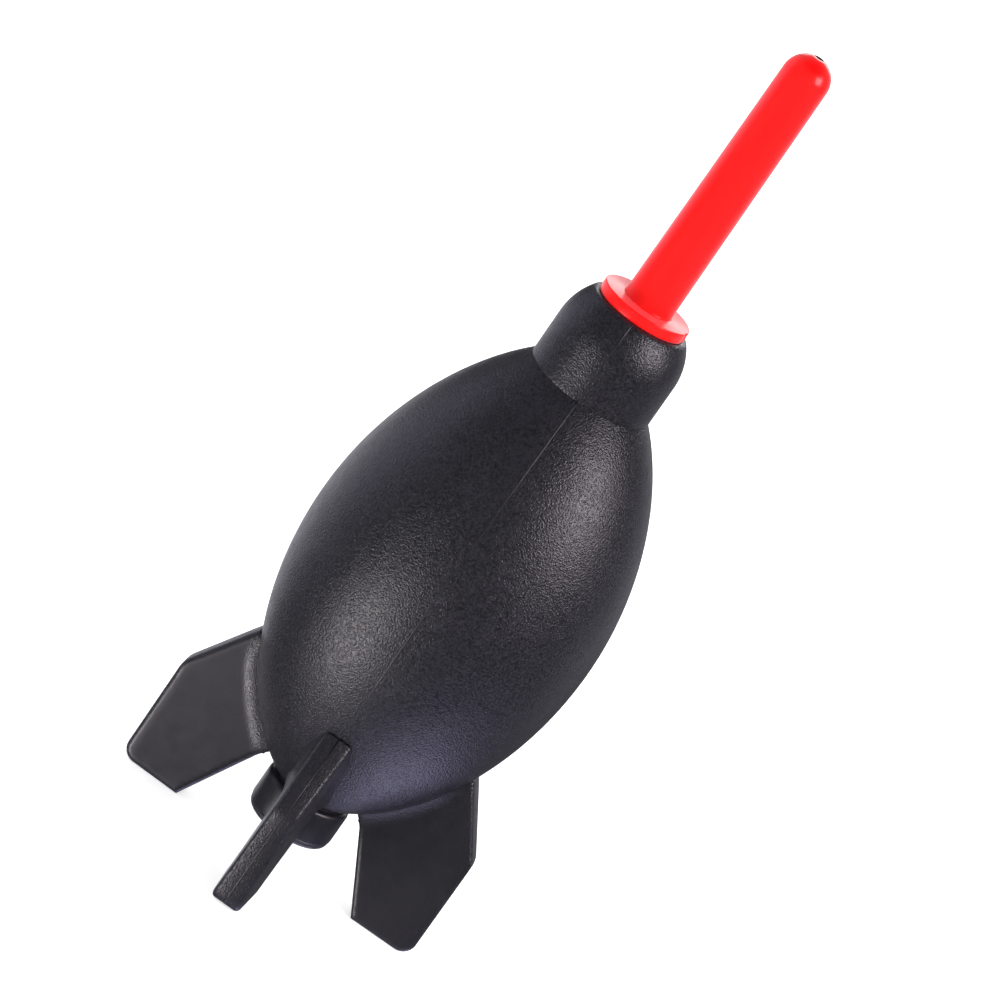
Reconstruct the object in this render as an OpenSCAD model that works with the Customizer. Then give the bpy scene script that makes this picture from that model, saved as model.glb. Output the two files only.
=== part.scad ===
// Rocket-shaped squeeze blower that puffs dust off small work: a hollow rubber
// bulb standing on four fins, a push-in nozzle on top and an intake valve below.
// Z points up along the bulb's axis. Z = 0 is the surface that the fins stand on.

/* [Bulb] */
// Largest outside radius of the bulb
bulb_r = 30.8; // [24:0.1:40]
// Height of the widest place above the surface it stands on
bulb_widest_z = 67.5; // [55:0.5:85]
// From the widest place down to the pointed end of the egg shape
bulb_below = 53.4; // [40:0.1:66]
// From the widest place up to the pointed end of the egg shape
bulb_above = 55.2; // [42:0.1:70]
// Thickness of the rubber wall
wall = 3; // [2:0.1:4.5]

/* [Neck] */
// Outside radius of the neck
neck_r = 12.9; // [11:0.1:16]
// Height of the neck above the crease where it leaves the bulb
neck_h = 17; // [14:0.1:24]
// Radius of the rounded shoulder under the nozzle's flange
neck_shoulder_r = 13; // [10:0.5:18]
// Radius of the socket that the nozzle pushes into
socket_r = 6.5; // [5.5:0.05:7.5]

/* [Tail boss] */
// Outside radius of the boss that holds the intake valve
boss_r = 9; // [7.5:0.1:12]
// Length of the boss below the bulb
boss_len = 8.4; // [6:0.1:12]
// Radius of the hole that the valve housing is pressed into
boss_bore_r = 5.5; // [5:0.05:6.2]

/* [Fins] */
// Distance from the axis to a fin's outer edge
fin_reach = 34.2; // [31:0.1:44]
// Thickness of a fin
fin_t = 5.8; // [3:0.1:8]
// Height of the shoulder where the outer edge turns towards the bulb
fin_shoulder_z = 23.1; // [15:0.1:29]
// Height at which the sloping edge reaches the bulb
fin_root_z = 37.7; // [31:0.1:45]
// Distance from the axis to the inner corner that stands on the surface
fin_toe_r = 20.8; // [14:0.1:26]
// Radius of the rounded outer corner
fin_corner_r = 3; // [1:0.1:6]

/* [Squeeze walls] */
// Height of the middle of the pressed area
press_z = 72; // [66:0.5:78]
// Half the width of the pressed area
press_half_w = 13; // [8:0.5:16]
// Half the height of the pressed area
press_half_h = 21; // [16.5:0.5:25]
// Gap round each moving wall
press_gap = 0.3; // [0.2:0.05:0.6]

/* [Nozzle] */
// Length of the tube above the flange
tube_len = 56.4; // [30:0.1:90]
// Outside radius of the tube where it leaves the flange
tube_base_r = 5.1; // [4.6:0.05:6]
// Outside radius of the tube at its rounded tip
tube_tip_r = 4.75; // [3.8:0.05:5.8]
// Radius of the air passage
passage_r = 2.6; // [1.5:0.1:3]
// Radius of the outlet hole in the tip
outlet_r = 0.9; // [0.5:0.05:1.4]
// Thickness of the tip in front of the passage, where the outlet hole runs
tip_wall = 2.4; // [1.5:0.1:3]
// Outside radius of the flange
flange_r = 9.3; // [8.6:0.1:11]
// Thickness of the flange
flange_t = 2.2; // [1.5:0.1:3.5]
// Length of the spigot inside the neck
spigot_len = 20; // [14:0.5:24]
// Clearance between spigot and socket, on the radius
spigot_gap = 0.05; // [0.02:0.01:0.1]

/* [Intake valve] */
// Outside radius of the valve housing's flange
housing_flange_r = 8.8; // [7:0.1:11]
// Thickness of the valve housing's flange
housing_flange_t = 1.5; // [1.2:0.1:2.5]
// Rounding of the flange's lower edge
housing_round_r = 1; // [0.4:0.1:1.1]
// Length of the plug inside the boss
plug_len = 11; // [10:0.5:14]
// Radius of the intake hole
intake_r = 1.6; // [1:0.1:2.2]
// Radius of the chamber that the disc moves in
chamber_r = 4.2; // [3.8:0.05:4.3]
// Thickness of the floor that the disc seals on
seat_t = 2.5; // [1.5:0.1:3.5]
// Thickness of the disc
disc_t = 0.8; // [0.5:0.1:1.2]
// Clearance round the disc, on the radius
disc_side_gap = 0.4; // [0.25:0.05:0.6]
// How far the disc lifts off its seat
disc_lift = 1.2; // [0.6:0.1:1.6]
// Height of the ring that keeps the disc in
cage_h = 2; // [1.5:0.1:2.5]
// Wall of the ring that keeps the disc in
cage_wall = 0.9; // [0.6:0.1:1.1]
// Width of the two stop bars across the ring
cage_bar_w = 1.2; // [0.8:0.1:1.6]

/* [Hidden] */
$fn = 96;

// How bluntly the egg closes towards the tail and towards the neck
tail_taper = 0.59;
neck_taper = 0.667;
// Points on each half of the egg's outline
egg_steps = 20;
// The bulb is this much slimmer than the neck where the two meet
neck_step = 0.3;
// Small distances that keep seated faces and cut surfaces apart
seat_gap = 0.05;
spill = 1;
// Height of the gap that lets air past the disc when it is up
cage_port_h = 0.9;
// Depth of the fins inside the bulb before the bulb is cut out of them
fin_bury = 8;
// Points on the neck's rounded shoulder
shoulder_steps = 10;

rubber = [0.17, 0.17, 0.2];
red_plastic = [0.95, 0.12, 0.1];
black_plastic = [0.1, 0.1, 0.11];
silicone = [0.75, 0.75, 0.72];

// Radius of the egg at height z, and heights at which it has radius r below and
// above its widest place. inset moves the whole surface inwards.
function egg_r(z, inset = 0) =
    let (tail = z < bulb_widest_z)
    let (u = (z - bulb_widest_z) / ((tail ? bulb_below : bulb_above) - inset))
    (bulb_r - inset) * pow(max(0, 1 - u * u), tail ? tail_taper : neck_taper);
function egg_low_z(r, inset = 0) =
    bulb_widest_z - (bulb_below - inset) * sqrt(1 - pow(r / (bulb_r - inset), 1 / tail_taper));
function egg_high_z(r, inset = 0) =
    bulb_widest_z + (bulb_above - inset) * sqrt(1 - pow(r / (bulb_r - inset), 1 / neck_taper));

// Outline of the egg from height z0 up to z1, with its points closest at the ends
function egg_line(z0, z1, inset = 0) =
    let (mid = (z0 + z1) / 2, half = (z1 - z0) / 2)
    [for (i = [0:2 * egg_steps])
        let (z = mid - half * cos(90 * i / egg_steps))
        [egg_r(z, inset), z]];

// Heights that follow from the sizes above
neck_base_z = egg_high_z(neck_r - neck_step);
neck_top_z = neck_base_z + neck_h;
boss_top_z = egg_low_z(boss_r);
boss_end_z = boss_top_z - boss_len;
cavity_low_z = egg_low_z(boss_bore_r, wall);
cavity_high_z = egg_high_z(socket_r, wall);
flange_z = neck_top_z + seat_gap;
tube_z = flange_z + flange_t;
tip_z = tube_z + tube_len;
spigot_end_z = flange_z - spigot_len;
housing_end_z = boss_end_z - housing_flange_t;
plug_top_z = boss_end_z + plug_len;
seat_z = boss_end_z + seat_t;
disc_z = seat_z + seat_gap;
disc_r = chamber_r - disc_side_gap;
cage_z = disc_z + disc_t + disc_lift + seat_gap;

// Solid egg between the boss and the crease under the neck, without its hollow
module egg_solid() {
    rotate_extrude()
        polygon(concat([[0, boss_top_z]], egg_line(boss_top_z, neck_base_z), [[0, neck_base_z]]));
}

// Rubber shell between the boss and the crease under the neck
module egg_shell() {
    outside = egg_line(boss_top_z, neck_base_z);
    inside = egg_line(cavity_low_z, neck_base_z, wall);
    last = len(inside) - 1;
    rotate_extrude()
        polygon(concat(outside, [for (i = [0:last]) inside[last - i]], [[boss_bore_r, boss_top_z]]));
}

// Bar with round ends that runs through both sides of the bulb, left to right
module press_bar(gap) {
    half_h = press_half_h - gap;
    half_w = press_half_w - gap;
    run = half_h - half_w;
    translate([0, 0, press_z])
        rotate([90, 0, 90])
            linear_extrude(height = 2 * bulb_r + 2 * spill, center = true)
                union() {
                    translate([0, run]) circle(r = half_w);
                    translate([0, -run]) circle(r = half_w);
                    square([2 * half_w, 2 * run], center = true);
                }
}

// Hollow bulb with the two places left open where it is pressed
module bulb_body() {
    color(rubber)
        difference() {
            egg_shell();
            press_bar(0);
        }
}

// The part of the wall that a thumb or finger pushes in, on the side that side points to
module squeeze_wall(side) {
    color(rubber)
        intersection() {
            egg_shell();
            press_bar(press_gap);
            translate([side * bulb_r, 0, press_z])
                cube([2 * bulb_r, 4 * press_half_w, 4 * press_half_h], center = true);
        }
}

module squeeze_wall_left() {
    squeeze_wall(-1);
}

module squeeze_wall_right() {
    squeeze_wall(1);
}

// Thick collar with a rounded shoulder and the nozzle's socket
module neck_collar() {
    shoulder_in = neck_r - neck_shoulder_r;
    mouth_angle = acos((flange_r + 0.7 - shoulder_in) / neck_shoulder_r);
    shoulder_z = neck_top_z - neck_shoulder_r * sin(mouth_angle);
    shoulder = [for (i = [0:shoulder_steps])
        let (a = mouth_angle * i / shoulder_steps)
        [shoulder_in + neck_shoulder_r * cos(a), shoulder_z + neck_shoulder_r * sin(a)]];
    hollow = egg_line(neck_base_z, cavity_high_z, wall);
    last = len(hollow) - 1;
    color(rubber)
        rotate_extrude()
            polygon(concat([[neck_r, neck_base_z]], shoulder, [[socket_r, neck_top_z]],
                [for (i = [0:last]) hollow[last - i]]));
}

// Short tube under the bulb that grips the valve housing
module tail_boss() {
    color(rubber)
        translate([0, 0, boss_end_z])
            difference() {
                cylinder(h = boss_len, r = boss_r);
                translate([0, 0, -spill]) cylinder(h = boss_len + 2 * spill, r = boss_bore_r);
            }
}

// One fin, standing on its lower edge and trimmed to the bulb
module fin(angle) {
    root_r = egg_r(fin_root_z) + 0.5;
    corner = fin_reach - fin_corner_r;
    color(rubber)
        rotate([0, 0, angle])
            difference() {
                rotate([90, 0, 0])
                    linear_extrude(height = fin_t, center = true)
                        union() {
                            polygon([
                                [fin_toe_r, 0], [corner, 0], [corner, fin_corner_r],
                                [fin_reach, fin_corner_r], [fin_reach, fin_shoulder_z],
                                [root_r, fin_root_z], [root_r - fin_bury, fin_root_z],
                                [boss_r, boss_top_z + 2]
                            ]);
                            translate([corner, fin_corner_r]) circle(r = fin_corner_r);
                        }
                egg_solid();
            }
}

module fin_front() {
    fin(270);
}

module fin_right() {
    fin(0);
}

module fin_rear() {
    fin(90);
}

module fin_left() {
    fin(180);
}

// Moulded nozzle: spigot, flange and slim tube with a half-round tip
module nozzle() {
    spigot_r = socket_r - spigot_gap;
    tip_centre_z = tip_z - tube_tip_r;
    color(red_plastic)
        difference() {
            union() {
                translate([0, 0, spigot_end_z]) cylinder(h = spigot_len + flange_t / 2, r = spigot_r);
                translate([0, 0, flange_z]) cylinder(h = flange_t, r = flange_r);
                translate([0, 0, tube_z - flange_t / 2])
                    cylinder(h = tip_centre_z - tube_z + flange_t / 2, r1 = tube_base_r, r2 = tube_tip_r);
                translate([0, 0, tip_centre_z]) sphere(r = tube_tip_r);
            }
            translate([0, 0, spigot_end_z - spill])
                cylinder(h = tip_z - tip_wall - spigot_end_z + spill, r = passage_r);
            translate([0, 0, tip_z - tip_wall - spill]) cylinder(h = tip_wall + 2 * spill, r = outlet_r);
        }
}

// Plug with the intake hole, the seat for the disc and a flange outside the boss
module valve_housing() {
    round_in = housing_flange_r - housing_round_r;
    color(black_plastic)
        difference() {
            union() {
                rotate_extrude()
                    intersection() {
                        translate([0, housing_end_z]) square([housing_flange_r, housing_flange_t]);
                        union() {
                            translate([0, housing_end_z]) square([round_in, housing_flange_t]);
                            translate([0, housing_end_z + housing_round_r])
                                square([housing_flange_r, housing_flange_t]);
                            translate([round_in, housing_end_z + housing_round_r])
                                circle(r = housing_round_r);
                        }
                    }
                translate([0, 0, boss_end_z - housing_flange_t / 2])
                    cylinder(h = plug_len + housing_flange_t / 2, r = boss_bore_r);
            }
            translate([0, 0, housing_end_z - spill]) cylinder(h = plug_len, r = intake_r);
            translate([0, 0, seat_z]) cylinder(h = plug_len, r = chamber_r);
        }
}

// Thin disc that lifts to let air in and falls back to close the intake hole
module valve_disc() {
    color(silicone)
        translate([0, 0, disc_z])
            cylinder(h = disc_t, r = disc_r);
}

// Ring with crossed bars, pressed in above the disc to limit its lift
module valve_cage() {
    color(black_plastic)
        translate([0, 0, cage_z])
            union() {
                translate([0, 0, cage_port_h])
                    difference() {
                        cylinder(h = cage_h, r = chamber_r);
                        translate([0, 0, -spill]) cylinder(h = cage_h + 2 * spill, r = chamber_r - cage_wall);
                    }
                intersection() {
                    cylinder(h = cage_port_h + cage_h, r = chamber_r);
                    union() {
                        translate([-chamber_r, -cage_bar_w / 2, 0])
                            cube([2 * chamber_r, cage_bar_w, cage_port_h + cage_h]);
                        translate([-cage_bar_w / 2, -chamber_r, 0])
                            cube([cage_bar_w, 2 * chamber_r, cage_port_h + cage_h]);
                    }
                }
            }
}

bulb_body();
squeeze_wall_left();
squeeze_wall_right();
neck_collar();
tail_boss();
fin_front();
fin_right();
fin_rear();
fin_left();
nozzle();
valve_housing();
valve_disc();
valve_cage();
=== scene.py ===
import math

import bmesh
import bpy
from mathutils import Matrix, Vector


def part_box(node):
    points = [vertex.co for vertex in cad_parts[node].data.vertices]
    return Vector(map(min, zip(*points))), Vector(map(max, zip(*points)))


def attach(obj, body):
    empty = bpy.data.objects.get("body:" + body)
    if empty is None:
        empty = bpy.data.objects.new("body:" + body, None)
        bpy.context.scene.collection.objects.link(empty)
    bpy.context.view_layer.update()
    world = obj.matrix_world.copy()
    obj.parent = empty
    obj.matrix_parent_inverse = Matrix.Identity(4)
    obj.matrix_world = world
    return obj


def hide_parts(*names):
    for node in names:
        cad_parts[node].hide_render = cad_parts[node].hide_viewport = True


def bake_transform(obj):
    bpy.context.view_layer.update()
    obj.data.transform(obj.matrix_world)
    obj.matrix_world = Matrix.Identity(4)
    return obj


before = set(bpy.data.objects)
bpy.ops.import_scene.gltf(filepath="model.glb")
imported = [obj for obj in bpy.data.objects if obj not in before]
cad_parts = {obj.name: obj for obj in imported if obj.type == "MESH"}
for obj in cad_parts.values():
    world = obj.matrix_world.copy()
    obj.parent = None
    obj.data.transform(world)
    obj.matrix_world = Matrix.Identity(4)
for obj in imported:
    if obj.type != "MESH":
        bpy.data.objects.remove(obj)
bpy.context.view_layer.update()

mm = 0.001

# ---------------------------------------------------------------------------
# Bulb. Hollow egg of black rubber with a leather grain, moulded in two halves
# that meet in the plane x = 0. Its two sides give way under thumb and fingers,
# and each half is one skin in place of the bulb and of its pressed wall.
# ---------------------------------------------------------------------------
bulb_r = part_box("bulb_body")[1].y
bulb_base_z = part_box("bulb_body")[0].z
crease_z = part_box("neck_collar")[0].z
neck_top_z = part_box("neck_collar")[1].z
neck_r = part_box("neck_collar")[1].x
widest_z = 67.5 * mm
below_widest = 53.4 * mm
above_widest = 55.2 * mm
tail_taper = 0.59
neck_taper = 0.667
rubber_wall = 3 * mm
skin_rows = 120
skin_columns = 96
# The skin runs on under the boss and inside the neck, to these radii
skin_low_r = 7 * mm
skin_high_r = 10 * mm


def egg_r(z):
    """Radius of the egg's outside at height z."""
    low = z < widest_z
    u = (z - widest_z) / (below_widest if low else above_widest)
    return bulb_r * max(0.0, 1 - u * u) ** (tail_taper if low else neck_taper)


def egg_z(r, low):
    """Height at which the egg has radius r, below or above its widest place."""
    taper = tail_taper if low else neck_taper
    run = -below_widest if low else above_widest
    return widest_z + run * math.sqrt(1 - (r / bulb_r) ** (1 / taper))


def chain(bm, points):
    """A row of vertices joined by edges, along points."""
    verts = [bm.verts.new(p) for p in points]
    edges = [bm.edges.new(pair) for pair in zip(verts, verts[1:])]
    return verts + edges


def add_node(tree, kind, inputs=None, **settings):
    """A shader node with its settings and the values of its unlinked inputs."""
    node = tree.nodes.new(kind)
    for key, value in settings.items():
        setattr(node, key, value)
    for key, value in (inputs or {}).items():
        node.inputs[key].default_value = value
    return node


def new_material(name, colour, roughness, **inputs):
    """A material with its principled shader and a texture coordinate node."""
    material = bpy.data.materials.new(name)
    material.use_nodes = True
    tree = material.node_tree
    shader = tree.nodes["Principled BSDF"]
    shader.inputs["Base Color"].default_value = (*colour, 1)
    shader.inputs["Roughness"].default_value = roughness
    for key, value in inputs.items():
        shader.inputs[key.replace("_", " ")].default_value = value
    place = add_node(tree, "ShaderNodeTexCoord")
    return material, tree, shader, place.outputs["Object"]


def mottle(tree, where, scale, dark, light, socket, detail=3):
    """Slow changes of colour or roughness between dark and light."""
    noise = add_node(tree, "ShaderNodeTexNoise", {"Scale": scale, "Detail": detail})
    ramp = add_node(tree, "ShaderNodeValToRGB")
    ramp.color_ramp.elements[0].position = 0.35
    ramp.color_ramp.elements[1].position = 0.65
    ramp.color_ramp.elements[0].color = dark
    ramp.color_ramp.elements[1].color = light
    tree.links.new(where, noise.inputs["Vector"])
    tree.links.new(noise.outputs["Fac"], ramp.inputs["Fac"])
    tree.links.new(ramp.outputs["Color"], socket)


# Leather grain: pebbles per metre, the finer grain on them, the swirl that bends
# them out of round, and the level at which the valleys between them go flat
grain_scale = 2300
fine_grain_scale = 3300
fine_grain_share = -0.5
grain_bend_scale = 1100
grain_bend = 0.0005
valley_level = 0.3
valley_blend = 0.2


def rubber(name, roughness, grain_height, painted_grain_shade, share=None):
    """Black rubber. grain_height is how deep its leather grain is, painted_grain_shade is how
    far its colour is speckled paler and darker at the grain's scale, painted light and shade
    of the grain, and share is the attribute that says where the grain shows."""
    material, tree, shader, where = new_material(name, (0.01, 0.0097, 0.013), roughness)
    mottle(tree, where, 60, (0.0085, 0.0083, 0.0115, 1), (0.0115, 0.011, 0.015, 1),
           shader.inputs["Base Color"])
    low, high = roughness - 0.03, roughness + 0.03
    mottle(tree, where, 400, (low, low, low, 1), (high, high, high, 1), shader.inputs["Roughness"])
    warp = add_node(tree, "ShaderNodeTexNoise", {"Scale": grain_bend_scale, "Detail": 2})
    bend = add_node(tree, "ShaderNodeMixRGB", {"Fac": grain_bend}, blend_type="ADD")
    pebble = add_node(tree, "ShaderNodeTexVoronoi", {"Scale": grain_scale})
    dome = add_node(tree, "ShaderNodeMath", {1: 2}, operation="POWER")
    valley = add_node(tree, "ShaderNodeMath", {1: valley_level, 2: valley_blend},
                      operation="SMOOTH_MIN")
    fine = add_node(tree, "ShaderNodeTexNoise", {"Scale": fine_grain_scale, "Detail": 2})
    height = add_node(tree, "ShaderNodeMath", {1: fine_grain_share}, operation="MULTIPLY_ADD")
    bump = add_node(tree, "ShaderNodeBump", {"Strength": 1, "Distance": grain_height},
                    invert=True)
    tree.links.new(where, warp.inputs["Vector"])
    tree.links.new(where, bend.inputs["Color1"])
    tree.links.new(warp.outputs["Color"], bend.inputs["Color2"])
    tree.links.new(bend.outputs["Color"], pebble.inputs["Vector"])
    tree.links.new(pebble.outputs["Distance"], dome.inputs[0])
    tree.links.new(where, fine.inputs["Vector"])
    tree.links.new(fine.outputs["Fac"], height.inputs[0])
    tree.links.new(dome.outputs[0], valley.inputs[0])
    tree.links.new(valley.outputs[0], height.inputs[2])
    # Colour speckled paler and darker at the scale of the grain: painted light and shade that
    # makes the grain show where no lamp picks it out
    grain_shaded = add_node(tree, "ShaderNodeMixRGB", {"Fac": 1}, blend_type="MULTIPLY")
    tree.links.new(shader.inputs["Base Color"].links[0].from_socket, grain_shaded.inputs["Color1"])
    mottle(tree, bend.outputs["Color"], grain_scale, (1 - painted_grain_shade, 1 - painted_grain_shade, 1 - painted_grain_shade, 1),
           (1 + painted_grain_shade, 1 + painted_grain_shade, 1 + painted_grain_shade, 1), grain_shaded.inputs["Color2"], 1)
    tree.links.new(grain_shaded.outputs["Color"], shader.inputs["Base Color"])
    last = height.outputs[0]
    if share:
        shown = add_node(tree, "ShaderNodeAttribute", attribute_name=share)
        masked = add_node(tree, "ShaderNodeMath", operation="MULTIPLY")
        tree.links.new(last, masked.inputs[0])
        tree.links.new(shown.outputs["Fac"], masked.inputs[1])
        last = masked.outputs[0]
    tree.links.new(last, bump.inputs["Height"])
    tree.links.new(bump.outputs["Normal"], shader.inputs["Normal"])
    return material


def new_piece(name, bm, materials, replaces, body=None):
    """The finished mesh as an object, smooth and on its body."""
    mesh = bpy.data.meshes.new(name)
    bm.to_mesh(mesh)
    bm.free()
    mesh.polygons.foreach_set("use_smooth", [True] * len(mesh.polygons))
    for material in materials:
        mesh.materials.append(material)
    piece = bpy.data.objects.new(name, mesh)
    bpy.context.scene.collection.objects.link(piece)
    if body:
        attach(piece, body)
    if replaces:
        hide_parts(*replaces)
    return piece


grained_rubber = rubber("grained_rubber", 0.32, 0.15 * mm, 0.6)
smooth_rubber = rubber("smooth_rubber", 0.36, 0.006 * mm, 0.1)

skin_low_z = egg_z(skin_low_r, True)
skin_high_z = egg_z(skin_high_r, False)
skin_mid_z = (skin_low_z + skin_high_z) / 2
skin_half_z = (skin_high_z - skin_low_z) / 2
skin_heights = [skin_mid_z - skin_half_z * math.cos(math.pi * i / skin_rows)
                for i in range(skin_rows + 1)]
# A column this narrow keeps the shading even across the parting plane
seam_column = 0.15 * mm

for side, hand in ((-1, "left"), (1, "right")):
    bm = bmesh.new()
    geometry = chain(bm, [(0, -egg_r(z), z) for z in skin_heights])
    bmesh.ops.spin(bm, geom=geometry, axis=(0, 0, 1), cent=(0, 0, 0),
                   angle=side * math.pi, steps=skin_columns, use_merge=False)
    bmesh.ops.bisect_plane(bm, geom=bm.verts[:] + bm.edges[:] + bm.faces[:],
                           plane_co=(side * seam_column, 0, 0), plane_no=(1, 0, 0))
    bmesh.ops.recalc_face_normals(bm, faces=bm.faces[:])
    bm.faces.ensure_lookup_table()
    if bm.faces[0].normal.dot(bm.faces[0].calc_center_median() - Vector((0, 0, widest_z))) < 0:
        bmesh.ops.reverse_faces(bm, faces=bm.faces[:])
    skin = new_piece("bulb_skin_" + hand, bm, [grained_rubber],
                     ["bulb_body", "squeeze_wall_" + hand])
    wall = skin.modifiers.new("wall", "SOLIDIFY")
    wall.thickness = rubber_wall
    wall.offset = -1
    wall.use_even_offset = True
    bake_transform(skin)

# ---------------------------------------------------------------------------
# Neck. Thick rubber collar with a rounded shoulder, moulded on the bulb. The
# nozzle pushes into its socket.
# ---------------------------------------------------------------------------
shoulder_r = 13 * mm
mouth_r = 10 * mm
socket_r = 6.5 * mm
mouth_round = 0.5 * mm
neck_foot = 0.6 * mm
neck_foot_lap = 0.5 * mm
socket_floor = 4.7 * mm
round_steps = 96


def arc(centre, radius, start, end, steps):
    """Points of an arc in the plane of radius and height, angles in degrees."""
    return [(centre[0] + radius * math.cos(math.radians(start + (end - start) * i / steps)),
             centre[1] + radius * math.sin(math.radians(start + (end - start) * i / steps)))
            for i in range(steps + 1)]


def turned(outline):
    """A ring whose cross-section is the closed outline of (radius, height)."""
    bm = bmesh.new()
    geometry = chain(bm, [(r, 0, z) for r, z in outline])
    verts = [g for g in geometry if isinstance(g, bmesh.types.BMVert)]
    geometry.append(bm.edges.new((verts[-1], verts[0])))
    bmesh.ops.spin(bm, geom=geometry, axis=(0, 0, 1), cent=(0, 0, 0),
                   angle=2 * math.pi, steps=round_steps, use_merge=True)
    bmesh.ops.remove_doubles(bm, verts=bm.verts[:], dist=0.0001 * mm)
    bmesh.ops.recalc_face_normals(bm, faces=bm.faces[:])
    return bm


def round_rings(bm, rings, offset, segments=3):
    """Rounds the circular edges at each (radius, height) in rings."""
    def on_ring(vert, ring):
        return (abs(math.hypot(vert.co.x, vert.co.y) - ring[0]) < 0.01 * mm
                and abs(vert.co.z - ring[1]) < 0.01 * mm)
    edges = [e for e in bm.edges
             if any(on_ring(e.verts[0], ring) and on_ring(e.verts[1], ring) for ring in rings)]
    bmesh.ops.bevel(bm, geom=edges, affect="EDGES", offset=offset, segments=segments,
                    profile=0.5, material=-1)


shoulder_in = neck_r - shoulder_r
mouth_angle = math.degrees(math.acos((mouth_r - shoulder_in) / shoulder_r))
shoulder_z = neck_top_z - shoulder_r * math.sin(math.radians(mouth_angle))
socket_end_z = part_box("nozzle")[0].z + socket_floor
shoulder = arc((shoulder_in, shoulder_z), shoulder_r, 0, mouth_angle, 14)
straight = [(neck_r, crease_z + (shoulder_z - crease_z) * i / 6) for i in range(6)]
bm = turned([(neck_r, crease_z - neck_foot)] + straight + shoulder
            + [(socket_r, neck_top_z), (socket_r, socket_end_z),
               (skin_high_r - neck_foot_lap, crease_z - neck_foot)])
round_rings(bm, [(mouth_r, neck_top_z), (socket_r, neck_top_z)], mouth_round)
new_piece("neck", bm, [grained_rubber], ["neck_collar"], "bulb")

# ---------------------------------------------------------------------------
# Tail boss. Short smooth rubber tube under the bulb that grips the intake
# valve. Its upper rim is rounded and leaves a groove under the bulb.
# ---------------------------------------------------------------------------
boss_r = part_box("tail_boss")[1].x
boss_end_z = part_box("tail_boss")[0].z
boss_bore_r = 5.5 * mm
groove_drop = 1.3 * mm
groove_r = 7.6 * mm
boss_round = 0.9 * mm
boss_lip_round = 0.25 * mm
boss_bury = 1 * mm
boss_core_z = bulb_base_z + boss_bury

boss_rim_z = bulb_base_z - groove_drop
bm = turned([(boss_bore_r, boss_end_z), (boss_r, boss_end_z), (boss_r, boss_rim_z),
             (groove_r, boss_rim_z), (groove_r, boss_core_z), (boss_bore_r, boss_core_z)])
round_rings(bm, [(boss_r, boss_rim_z)], boss_round, 5)
round_rings(bm, [(boss_r, boss_end_z)], boss_lip_round)
new_piece("boss", bm, [smooth_rubber], ["tail_boss"], "bulb")

# ---------------------------------------------------------------------------
# Fins. Four thick rubber fins moulded on the bulb, a quarter turn apart, that
# it stands on. Their sides are smooth, and their edges carry the grain.
# ---------------------------------------------------------------------------
fin_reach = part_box("fin_right")[1].x
fin_foot_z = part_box("fin_right")[0].z
fin_top_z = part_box("fin_right")[1].z
fin_toe_r = 20.8 * mm
fin_shoulder_z = 23.1 * mm
fin_corner_r = 3 * mm
fin_bury = 2 * mm
fin_edge_round = 1.2 * mm
# Half the thickness at the shoulder, at the foot and at the axis of the bulb
fin_half_shoulder = 2.55 * mm
fin_half_foot = 3.1 * mm
fin_half_root = 4.4 * mm
# The root spreads over this width, on an arc of this radius
fillet_width = 3 * mm
fillet_r = 4.4 * mm
# It fades out over these distances from the leading and the trailing edge
fillet_lead_fade = (0.5 * mm, 6 * mm)
fillet_trail_fade = (0, 3 * mm)
fillet_grain = 0.9
fillet_grain_fade = (0.3, 1.2)
# A face counts as a side, with no grain, as its normal turns square to the fin
side_turn = (0.8, 0.99)
fin_cell = 0.6 * mm
fin_shoulder_cut = 1.2 * mm
fin_top_out = 0.5 * mm
buried_rows = 10
buried_low = 2.5 * mm
root_rows = 100
root_under = 3 * mm
root_over = 6 * mm
root_floor = 0.1 * mm
# Cuts that follow the bulb, close together at the root and wider further out
root_cuts = range(-3, 25)
root_cut_step = 0.3
root_cut_growth = 0.03
touch = 0.01 * mm
grained_fin = rubber("fin_rubber", 0.34, 0.13 * mm, 0.15, "grain")

fin_top_r = egg_r(fin_top_z) + fin_top_out
root_low_z = bulb_base_z + root_floor
root_heights = [bulb_base_z - root_under + (fin_top_z + root_over - bulb_base_z) * i / root_rows
                for i in range(root_rows + 1)]


def smoothstep(low, high, x):
    """0 up to low, 1 from high on, and smooth between them."""
    t = min(1.0, max(0.0, (x - low) / (high - low)))
    return t * t * (3 - 2 * t)


def from_bulb(x, z):
    """Distance from the bulb's surface, in the plane of the fin."""
    if x < egg_r(z):
        return 0.0
    return min(math.hypot(x - egg_r(h), z - h) for h in root_heights)


def from_line(x, z, start, end):
    """Distance to the left of the line from start to end."""
    run, rise = end[0] - start[0], end[1] - start[1]
    return (run * (z - start[1]) - rise * (x - start[0])) / math.hypot(run, rise)


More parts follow.
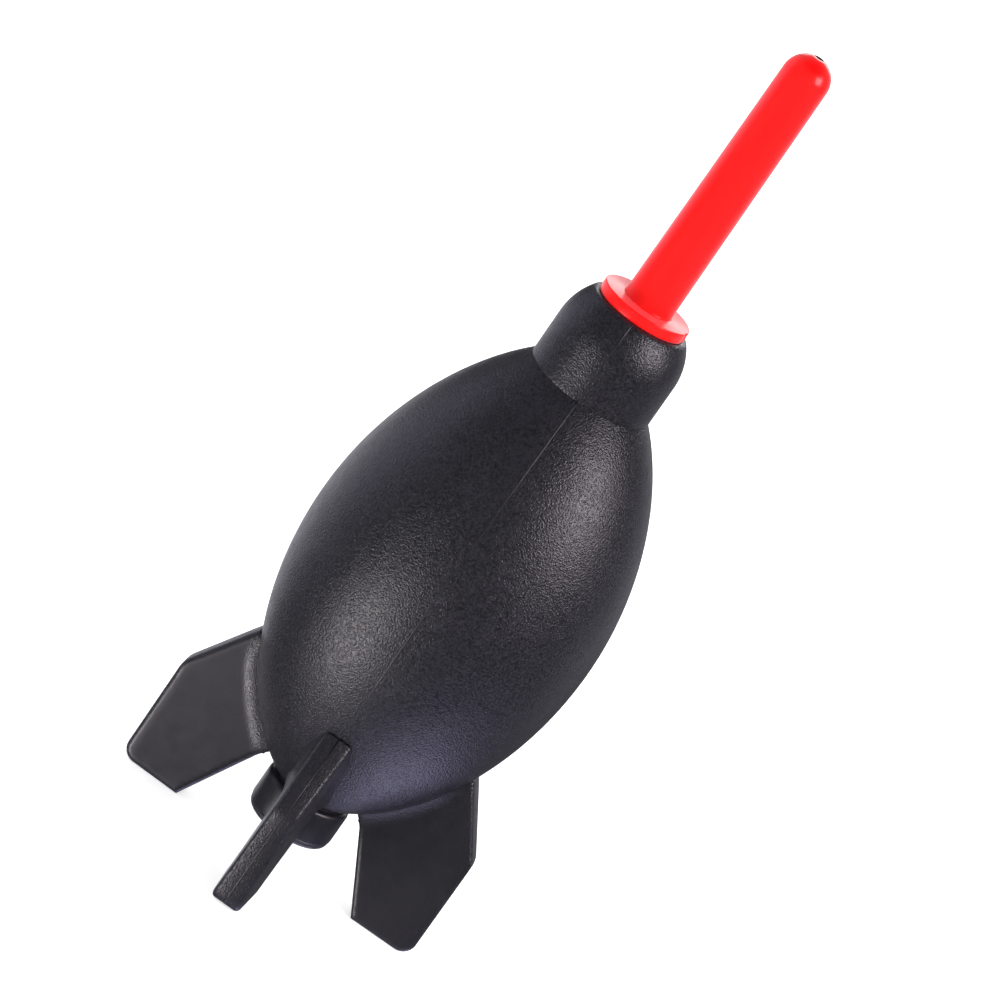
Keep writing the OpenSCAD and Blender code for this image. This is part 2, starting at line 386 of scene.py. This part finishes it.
def fin_blank():
    """The fin towards +X as a plate with rounded edges, cut into small cells that
    follow the bulb."""
    corner = fin_reach - fin_corner_r
    buried_run = fin_top_z - bulb_base_z - buried_low
    buried = [fin_top_z - buried_run * i / buried_rows for i in range(buried_rows + 1)]
    outline = [(fin_toe_r, fin_foot_z)]
    outline += arc((corner, fin_foot_z + fin_corner_r), fin_corner_r, -90, 0, 7)
    outline += [(fin_reach, fin_shoulder_z), (fin_top_r, fin_top_z)]
    outline += [(egg_r(z) - fin_bury, z) for z in buried]
    bm = bmesh.new()
    bm.faces.new([bm.verts.new((x, -fin_half_root, z)) for x, z in outline])
    shoulder = [v for v in bm.verts if v.co.x > fin_reach - touch
                and v.co.z > fin_shoulder_z - touch]
    bmesh.ops.bevel(bm, geom=shoulder, affect="VERTICES", offset=fin_shoulder_cut, segments=3,
                    profile=0.5, material=-1)
    made = bmesh.ops.extrude_face_region(bm, geom=bm.faces[:])
    moved = [g for g in made["geom"] if isinstance(g, bmesh.types.BMVert)]
    bmesh.ops.translate(bm, verts=moved, vec=(0, 2 * fin_half_root, 0))
    bmesh.ops.recalc_face_normals(bm, faces=bm.faces[:])
    rim = [e for e in bm.edges if abs(e.verts[0].co.y - e.verts[1].co.y) < touch]
    bmesh.ops.bevel(bm, geom=rim, affect="EDGES", offset=fin_edge_round, segments=4,
                    profile=0.5, material=-1, clamp_overlap=True)
    rows = int((fin_top_z - fin_foot_z) / fin_cell)
    cuts = [((0, 0, fin_foot_z + fin_cell * i), (0, 0, 1)) for i in range(1, rows)]
    slice_up(bm, cuts)
    for v in bm.verts:
        v.co.x -= egg_r(max(v.co.z, root_low_z))
    slice_up(bm, [(((root_cut_step + root_cut_growth * abs(i)) * i * mm, 0, 0), (1, 0, 0))
                  for i in root_cuts])
    for v in bm.verts:
        v.co.x += egg_r(max(v.co.z, root_low_z))
    return bm


def slice_up(bm, cuts):
    """Cuts the whole mesh by planes, each a point and a normal."""
    for place, normal in cuts:
        bmesh.ops.bisect_plane(bm, geom=bm.verts[:] + bm.edges[:] + bm.faces[:],
                               dist=0.02 * mm, plane_co=place, plane_no=normal)


def shape_fin(bm):
    """Tapers the plate, spreads its root into a fillet and marks where grain shows."""
    bm.normal_update()
    grain = bm.verts.layers.float.new("grain")
    for v in bm.verts:
        x, z = v.co.x, v.co.z
        off = from_bulb(x, z)
        leading = from_line(x, z, (fin_reach, fin_shoulder_z), (fin_top_r, fin_top_z))
        trailing = from_line(x, z, (boss_r, bulb_base_z + 2 * mm), (fin_toe_r, fin_foot_z))
        low = max(0.0, 1 - z / fin_shoulder_z)
        edge = fin_half_shoulder + (fin_half_foot - fin_half_shoulder) * low
        half = edge + (fin_half_root - edge) * (1 - x / fin_reach)
        near = max(0.0, fillet_width - off)
        spread = fillet_r - math.sqrt(fillet_r ** 2 - near ** 2)
        spread *= smoothstep(*fillet_lead_fade, leading)
        spread *= smoothstep(*fillet_trail_fade, trailing)
        rim = 1 - smoothstep(*side_turn, abs(v.normal.y))
        far = smoothstep(*fillet_grain_fade, off / fillet_width)
        v[grain] = max(rim, fillet_grain - fillet_grain * far)
        v.co.y *= (half + spread) / fin_half_root
        lowered = math.sqrt(max(0.0, x * x - v.co.y * v.co.y))
        v.co.x = x + (lowered - x) * (1 - smoothstep(0, fillet_width, off))
    bm.normal_update()


blank = fin_blank()
shape_fin(blank)
for turn, where in ((-90, "front"), (0, "right"), (90, "rear"), (180, "left")):
    bm = blank.copy()
    bmesh.ops.rotate(bm, verts=bm.verts[:], cent=(0, 0, 0),
                     matrix=Matrix.Rotation(math.radians(turn), 3, "Z"))
    new_piece(where + "_fin", bm, [grained_fin], ["fin_" + where], "bulb")
blank.free()

# ---------------------------------------------------------------------------
# Parting line. Fine ridge of rubber where the two halves of the mould meet,
# along the bulb, the neck and the edges of the front and rear fins.
# ---------------------------------------------------------------------------
line_width = 0.4 * mm
line_height = 0.1 * mm
line_columns = 4
line_depth = 0.3 * mm
line_sunk = 0.3
line_shoulder_low = 1.2 * mm
line_shoulder_in = 0.25 * mm
line_shoulder_up = 0.35 * mm


def ridge(bm, path):
    """A crowned strip along path, a row of (y, z) points."""
    row = chain(bm, [(-line_width / 2, y, z) for y, z in path])
    for _ in range(line_columns):
        edges = [g for g in row if isinstance(g, bmesh.types.BMEdge)]
        made = bmesh.ops.extrude_edge_only(bm, edges=edges)["geom"]
        verts = [g for g in made if isinstance(g, bmesh.types.BMVert)]
        bmesh.ops.translate(bm, verts=verts, vec=(line_width / line_columns, 0, 0))
        row = [g for g in made if isinstance(g, bmesh.types.BMEdge)]


line_low_z = bulb_base_z + 0.3 * mm
line_heights = [line_low_z + (crease_z - line_low_z) * i / 90 for i in range(91)]
bm = bmesh.new()
ridge(bm, [(-egg_r(z), z) for z in line_heights])
ridge(bm, [(-r, z) for r, z in straight + shoulder])
corner_y = fin_reach - fin_corner_r
edge_path = arc((corner_y, fin_foot_z + fin_corner_r), fin_corner_r, -60, 0, 5)
edge_path += [(fin_reach, fin_shoulder_z - line_shoulder_low),
              (fin_reach - line_shoulder_in, fin_shoulder_z + line_shoulder_up),
              (fin_top_r, fin_top_z)]
ridge(bm, [(-r, z) for r, z in edge_path])
bmesh.ops.recalc_face_normals(bm, faces=bm.faces[:])
for face in bm.faces:
    if face.normal.y > 0:
        face.normal_flip()
bm.normal_update()
for v in bm.verts:
    crown = 1 - (2 * v.co.x / line_width) ** 2
    v.co += v.normal * (line_height * (crown - line_sunk))
made = bmesh.ops.duplicate(bm, geom=bm.verts[:] + bm.edges[:] + bm.faces[:])
bmesh.ops.rotate(bm, verts=[g for g in made["geom"] if isinstance(g, bmesh.types.BMVert)],
                 cent=(0, 0, 0), matrix=Matrix.Rotation(math.pi, 3, "Z"))
line = new_piece("parting_line", bm, [smooth_rubber], [], "bulb")
backing = line.modifiers.new("backing", "SOLIDIFY")
backing.thickness = line_depth
backing.offset = -1

# ---------------------------------------------------------------------------
# Intake valve. Black plastic housing pressed into the boss, with the intake
# hole in its flange. Inside, a loose silicone disc lifts to let air in, and a
# cage with crossed bars keeps it in. Disc and cage are the CAD solids.
# ---------------------------------------------------------------------------
housing_low, housing_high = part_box("valve_housing")
housing_r = housing_high.x
flange_round = 1 * mm
housing_edge_round = 0.3 * mm
seat_height = 2.5 * mm
intake_r = 1.6 * mm
chamber_r = 4.2 * mm
seat_z = boss_end_z + seat_height


def black_plastic():
    """Moulded plastic with a faint spark-eroded texture."""
    material, tree, shader, where = new_material("black_plastic", (0.02, 0.02, 0.024), 0.38)
    mottle(tree, where, 300, (0.34, 0.34, 0.34, 1), (0.44, 0.44, 0.44, 1),
           shader.inputs["Roughness"])
    mottle(tree, where, 90, (0.017, 0.017, 0.021, 1), (0.023, 0.023, 0.028, 1),
           shader.inputs["Base Color"])
    fine = add_node(tree, "ShaderNodeTexNoise", {"Scale": 4500, "Detail": 2})
    bump = add_node(tree, "ShaderNodeBump", {"Strength": 1, "Distance": 0.006 * mm})
    tree.links.new(where, fine.inputs["Vector"])
    tree.links.new(fine.outputs["Fac"], bump.inputs["Height"])
    tree.links.new(bump.outputs["Normal"], shader.inputs["Normal"])
    return material


def silicone():
    """Milky rubber, slightly clouded."""
    material, tree, shader, where = new_material(
        "silicone", (0.7, 0.7, 0.66), 0.45, Subsurface_Weight=0.3, Subsurface_Scale=0.5 * mm)
    mottle(tree, where, 700, (0.62, 0.62, 0.58, 1), (0.76, 0.76, 0.72, 1),
           shader.inputs["Base Color"])
    return material


valve_black = black_plastic()
bm = turned([(intake_r, housing_low.z), (housing_r, housing_low.z), (housing_r, boss_end_z),
             (boss_bore_r, boss_end_z), (boss_bore_r, housing_high.z), (chamber_r, housing_high.z),
             (chamber_r, seat_z), (intake_r, seat_z)])
round_rings(bm, [(housing_r, housing_low.z)], flange_round, 5)
round_rings(bm, [(intake_r, housing_low.z), (housing_r, boss_end_z), (intake_r, seat_z)],
            housing_edge_round)
new_piece("intake_housing", bm, [valve_black], ["valve_housing"], "bulb")
for name, material in (("valve_cage", valve_black), ("valve_disc", silicone())):
    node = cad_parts[name]
    node.data.materials.clear()
    node.data.materials.append(material)

# ---------------------------------------------------------------------------
# Nozzle. Glossy red plastic, moulded in one piece: a spigot that holds in the
# neck, a flange that rests on it and a slim tube with a half-round tip.
# ---------------------------------------------------------------------------
nozzle_low, nozzle_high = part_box("nozzle")
flange_gap = 0.05 * mm
flange_r = nozzle_high.x
flange_z = neck_top_z + flange_gap
flange_t = 2.2 * mm
tube_base_r = 5.1 * mm
tube_tip_r = 4.75 * mm
spigot_r = 6.45 * mm
passage_r = 2.6 * mm
outlet_r = 0.9 * mm
tip_wall = 2.4 * mm
tip_over_box = 0.09 * mm
outlet_lip = 0.1 * mm
outlet_lip_drop = 0.3 * mm
# How far out from the outlet's edge the painted shade of the bore reaches
outlet_shade_edge = 0.06 * mm
# The nick left by the gate: where it is, half its width in degrees, and its depth
gate_turn = -11.25
gate_half = 3
gate_depth = 0.35 * mm


def red_plastic():
    """Glossy moulded plastic, faintly streaked along the flow."""
    material, tree, shader, where = new_material(
        "red_plastic", (0.72, 0.0015, 0.0012), 0.25, Specular_IOR_Level=0.25,
        Subsurface_Weight=0.1, Subsurface_Scale=1 * mm, Sheen_Weight=0.5, Sheen_Roughness=0.35)
    shader.inputs["Subsurface Radius"].default_value = (1, 0.05, 0.04)
    shader.inputs["Sheen Tint"].default_value = (1, 0.75, 0.8, 1)
    stretch = add_node(tree, "ShaderNodeMapping", {"Scale": (1, 1, 0.12)})
    tree.links.new(where, stretch.inputs["Vector"])
    mottle(tree, stretch.outputs["Vector"], 260, (0.7, 0.0012, 0.001, 1),
           (0.74, 0.0018, 0.0014, 1), shader.inputs["Base Color"])
    mottle(tree, stretch.outputs["Vector"], 500, (0.23, 0.23, 0.23, 1), (0.27, 0.27, 0.27, 1),
           shader.inputs["Roughness"])
    fine = add_node(tree, "ShaderNodeTexNoise", {"Scale": 2500, "Detail": 2})
    bump = add_node(tree, "ShaderNodeBump", {"Strength": 1, "Distance": 0.002 * mm})
    tree.links.new(where, fine.inputs["Vector"])
    tree.links.new(fine.outputs["Fac"], bump.inputs["Height"])
    tree.links.new(bump.outputs["Normal"], shader.inputs["Normal"])
    return material


def painted_shade_red():
    """The same plastic inside the outlet, painted dark for the shade deep in the bore."""
    material, tree, shader, where = new_material("painted_shade_red", (0.03, 0.004, 0.004), 0.7)
    mottle(tree, where, 900, (0.02, 0.003, 0.003, 1), (0.045, 0.006, 0.006, 1),
           shader.inputs["Base Color"])
    return material


tube_z = flange_z + flange_t
tip_z = nozzle_high.z + tip_over_box
tip_centre_z = tip_z - tube_tip_r
outlet_turn = math.degrees(math.acos((outlet_r + outlet_lip) / tube_tip_r))
tip = arc((0, tip_centre_z), tube_tip_r, 0, outlet_turn, 12)
tube = [(tube_base_r + (tube_tip_r - tube_base_r) * i / 20,
         tube_z + (tip_centre_z - tube_z) * i / 20) for i in range(20)]
bm = turned([(passage_r, nozzle_low.z), (spigot_r, nozzle_low.z), (spigot_r, flange_z),
             (flange_r, flange_z), (flange_r, tube_z)] + tube + tip
            + [(outlet_r, tip_z - outlet_lip_drop), (outlet_r, tip_z - tip_wall),
               (passage_r, tip_z - tip_wall)])
round_rings(bm, [(flange_r, flange_z), (flange_r, tube_z)], 0.25 * mm)
round_rings(bm, [(spigot_r, nozzle_low.z), (passage_r, nozzle_low.z)], 0.5 * mm)
round_rings(bm, [(tube_base_r, tube_z)], 0.35 * mm)
for v in bm.verts:
    off = abs(math.degrees(math.atan2(v.co.y, v.co.x)) - gate_turn)
    if off < gate_half and v.co.xy.length > flange_r - gate_depth:
        v.co -= Vector((v.co.x, v.co.y, 0)).normalized() * gate_depth
# Faces inside the outlet take the second material, painted shade for the dark of the bore
for face in bm.faces:
    if face.calc_center_median().xy.length < outlet_r + outlet_shade_edge:
        face.material_index = 1
new_piece("red_nozzle", bm, [red_plastic(), painted_shade_red()], ["nozzle"], "nozzle")

# ---------------------------------------------------------------------------
# Studio. Pale floor that sweeps up into a backdrop, soft boxes round the
# object, and the camera.
# ---------------------------------------------------------------------------
floor_r = 3.2
sweep_r = 1.2
backdrop_top = 4.5
look_at = Vector((0, 0, 0.085))


def pale_floor():
    """Matt white card that glows a little, as a light table does."""
    material, tree, shader, where = new_material("pale_floor", (0.8, 0.8, 0.8), 0.9)
    mottle(tree, where, 3, (0.78, 0.78, 0.78, 1), (0.82, 0.82, 0.82, 1),
           shader.inputs["Base Color"])
    shader.inputs["Emission Color"].default_value = (1, 1, 1, 1)
    shader.inputs["Emission Strength"].default_value = 0.6
    return material


bm = bmesh.new()
sweep = arc((floor_r - sweep_r, sweep_r), sweep_r, -90, 0, 12)
profile = chain(bm, [(r, 0, z) for r, z in [(0, 0), (0.5, 0)] + sweep + [(floor_r, backdrop_top)]])
bmesh.ops.spin(bm, geom=profile, axis=(0, 0, 1), cent=(0, 0, 0), angle=2 * math.pi, steps=96,
               use_merge=True)
bmesh.ops.remove_doubles(bm, verts=bm.verts[:], dist=0.001 * mm)
bmesh.ops.recalc_face_normals(bm, faces=bm.faces[:])
mesh = bpy.data.meshes.new("floor")
bm.to_mesh(mesh)
bm.free()
mesh.polygons.foreach_set("use_smooth", [True] * len(mesh.polygons))
mesh.materials.append(pale_floor())
floor = bpy.data.objects.new("floor", mesh)
bpy.context.scene.collection.objects.link(floor)
floor.visible_glossy = False
floor.visible_shadow = False


def soft_box(name, azimuth, elevation, distance, width, height, radiance, colour):
    """An area light that faces the object. Azimuth 0 is in front, 90 to the right."""
    data = bpy.data.lights.new(name, "AREA")
    data.shape = "RECTANGLE"
    data.size = width
    data.size_y = height
    data.energy = radiance * math.pi * width * height
    data.color = colour
    lamp = bpy.data.objects.new(name, data)
    a, e = math.radians(azimuth), math.radians(elevation)
    away = Vector((math.sin(a) * math.cos(e), -math.cos(a) * math.cos(e), math.sin(e)))
    lamp.location = look_at + away * distance
    lamp.rotation_euler = away.to_track_quat("Z", "Y").to_euler()
    lamp.visible_camera = False
    bpy.context.scene.collection.objects.link(lamp)


soft_box("key_right", 68, 32, 0.9, 0.44, 0.38, 12.5, (1, 0.9, 0.97))
soft_box("low_left", -36, -34, 0.7, 0.28, 0.22, 14, (1, 0.94, 0.97))
soft_box("low_right", 98, -60, 0.7, 0.6, 0.3, 2.6, (0.66, 0.62, 1))
soft_box("left", -105, 10, 1.0, 0.8, 0.8, 0.75, (0.8, 0.76, 1))
soft_box("below", 20, -70, 0.7, 0.8, 0.6, 0.4, (0.84, 0.8, 1))
soft_box("back_right", 155, 0, 1.0, 0.6, 0.6, 0.35, (0.92, 0.92, 1))
soft_box("back_left", -156, -21, 1.0, 0.7, 0.5, 0.85, (0.92, 0.92, 1))
soft_box("back_top", 180, 22, 1.1, 0.9, 0.3, 4, (1, 1, 1))
soft_box("side_left", -122, -16, 1.0, 0.7, 0.4, 0.5, (0.9, 0.88, 1))
soft_box("side_right", 125, -16, 1.0, 0.6, 0.4, 0.35, (0.9, 0.88, 1))

world = bpy.data.worlds.new("studio")
world.use_nodes = True
world.node_tree.nodes["Background"].inputs["Color"].default_value = (0.92, 0.92, 1, 1)
world.node_tree.nodes["Background"].inputs["Strength"].default_value = 0.1
bpy.context.scene.world = world
bpy.context.scene.view_settings.view_transform = "Standard"

view_turn = math.radians(1.8)
view_elevation = math.radians(18.1)
view_roll = math.radians(34.86)
view_distance = 866.8 * mm
view_sideways = -1.68 * mm
view_height = 86.26 * mm

camera_data = bpy.data.cameras.new("camera")
camera_data.lens = 165.16
camera_data.clip_start = 0.05
camera_data.clip_end = 20
camera = bpy.data.objects.new("camera", camera_data)
bpy.context.scene.collection.objects.link(camera)
back = Vector((0, -math.cos(view_elevation), math.sin(view_elevation)))
start = back * view_distance + Vector((view_sideways, 0, view_height))
turn = Matrix.Rotation(view_turn, 4, "Z")
tilt = Matrix.Rotation(math.pi / 2 - view_elevation, 4, "X")
roll = Matrix.Rotation(view_roll, 4, "Z")
camera.matrix_world = turn @ Matrix.Translation(start) @ tilt @ roll
bpy.context.scene.camera = camera
